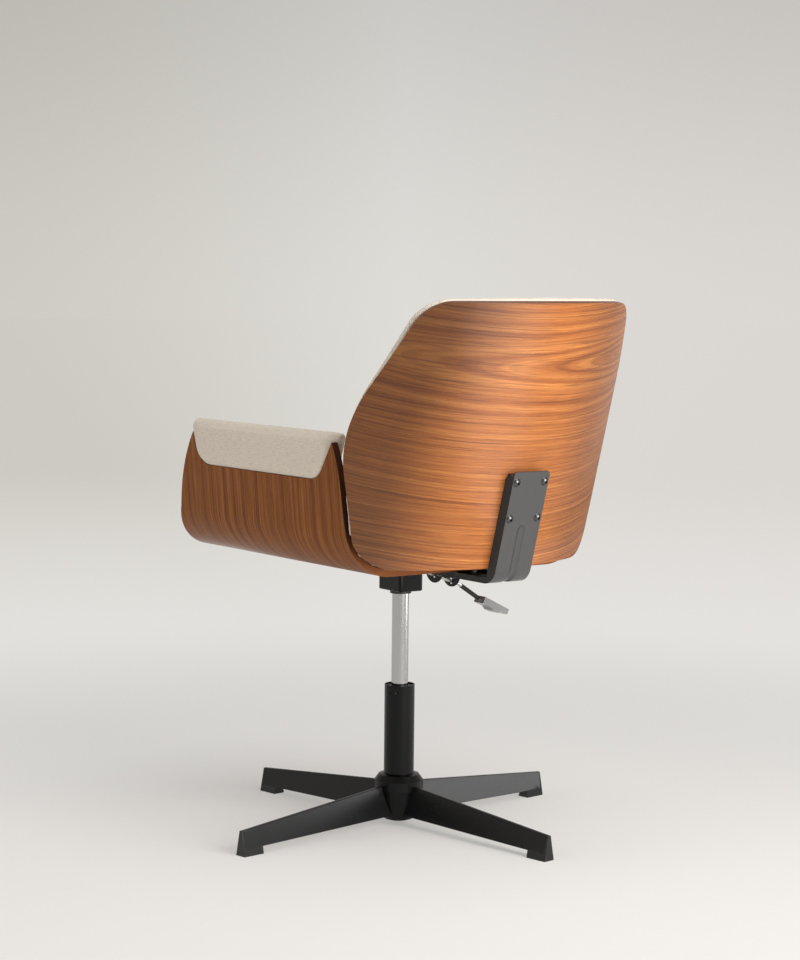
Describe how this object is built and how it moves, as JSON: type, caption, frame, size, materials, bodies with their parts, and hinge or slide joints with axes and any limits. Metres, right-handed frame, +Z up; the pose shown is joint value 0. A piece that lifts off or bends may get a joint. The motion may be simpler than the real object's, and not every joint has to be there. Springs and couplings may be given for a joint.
{
  "type": "desk chair",
  "caption": "Swivel desk chair with a curved walnut back, a bent-ply seat and arm shell, fabric pads, a gas lift with a lever and a black star base on fixed feet.",
  "frame": {"origin": "on the floor, under the middle of the chair's overall box", "axes": "+Z up, the seat's front faces -Y, the sitter's left is +X"},
  "size_m": [0.6778, 0.7594, 0.8774],
  "materials": {
    "walnut": "satin lacquered walnut veneer",
    "upholstery": "oatmeal linen weave",
    "black_steel": "satin black powder coat",
    "chrome": "satin chrome",
    "bright_steel": "bright zinc and ground steel",
    "black_screws": "black oxide, semi-gloss",
    "black_plastic": "fine moulded texture",
    "rubber": "matt"
  },
  "bodies": {
    "base": {"hub": "black_steel", "hub_plug": "black_plastic", "stand_tube": "black_steel", "guide_bush": "black_plastic", "lower_race": "bright_steel", "leg_left": "black_steel", "leg_back": "black_steel", "leg_right": "black_steel", "leg_front": "black_steel", "foot_left": "black_plastic", "foot_back": "black_plastic", "foot_right": "black_plastic", "foot_front": "black_plastic"},
    "rod": {"piston_rod": "bright_steel", "piston": "bright_steel", "upper_race": "bright_steel", "bearing_balls": "bright_steel", "support_washer": "bright_steel", "rubber_buffer": "rubber", "clip_washer": "bright_steel", "rod_clip": "bright_steel"},
    "seat": {"gas_cylinder": "chrome", "rod_guide": "bright_steel", "taper_bush": "black_plastic", "lift_socket": "black_steel", "seat_plate": "black_steel", "seat_bolts": "black_screws", "seat_nuts": "bright_steel", "lever_guide": "black_steel", "lever_pivot_pin": "bright_steel", "seat_shell": "walnut", "seat_cushion": "upholstery", "arm_pad_left": "upholstery", "arm_pad_right": "upholstery", "back_shell": "walnut", "back_pad": "upholstery", "back_bracket": "black_steel", "back_bolts": "black_screws", "back_nuts": "bright_steel", "back_spacers": "black_plastic", "bracket_bolts": "black_screws", "bracket_nuts": "bright_steel", "bracket_spacers": "bright_steel"},
    "lever": {"lever_rod": "bright_steel", "lever_sleeve": "black_plastic", "lever_handle": "black_plastic"},
    "valve": {"valve_pin": "bright_steel"}
  },
  "joints": [
    {"name": "seat_swivel", "type": "hinge", "parent": "base", "child": "rod", "pos_m": [0, -0.01974, 0.03], "axis": [0, 0, 1], "continuous": true},
    {"name": "seat_height", "type": "slide", "parent": "rod", "child": "seat", "axis": [0, 0, 1], "range_m": [-0.108, 0]},
    {"name": "lever_lift", "type": "hinge", "parent": "seat", "child": "lever", "pos_m": [-0.012, -0.01974, 0.432], "axis": [0, 1, 0], "range_deg": [0, 8], "stiffness_Nm_per_rad": 0.6, "springref_deg": -11.46},
    {"name": "valve_press", "type": "slide", "parent": "seat", "child": "valve", "axis": [0, 0, -1], "range_m": [0, 0.0025]}
  ],
  "couplings": [
    {"joint": "valve_press", "follows": "lever_lift", "m_per_rad": 0.0155}
  ]
}
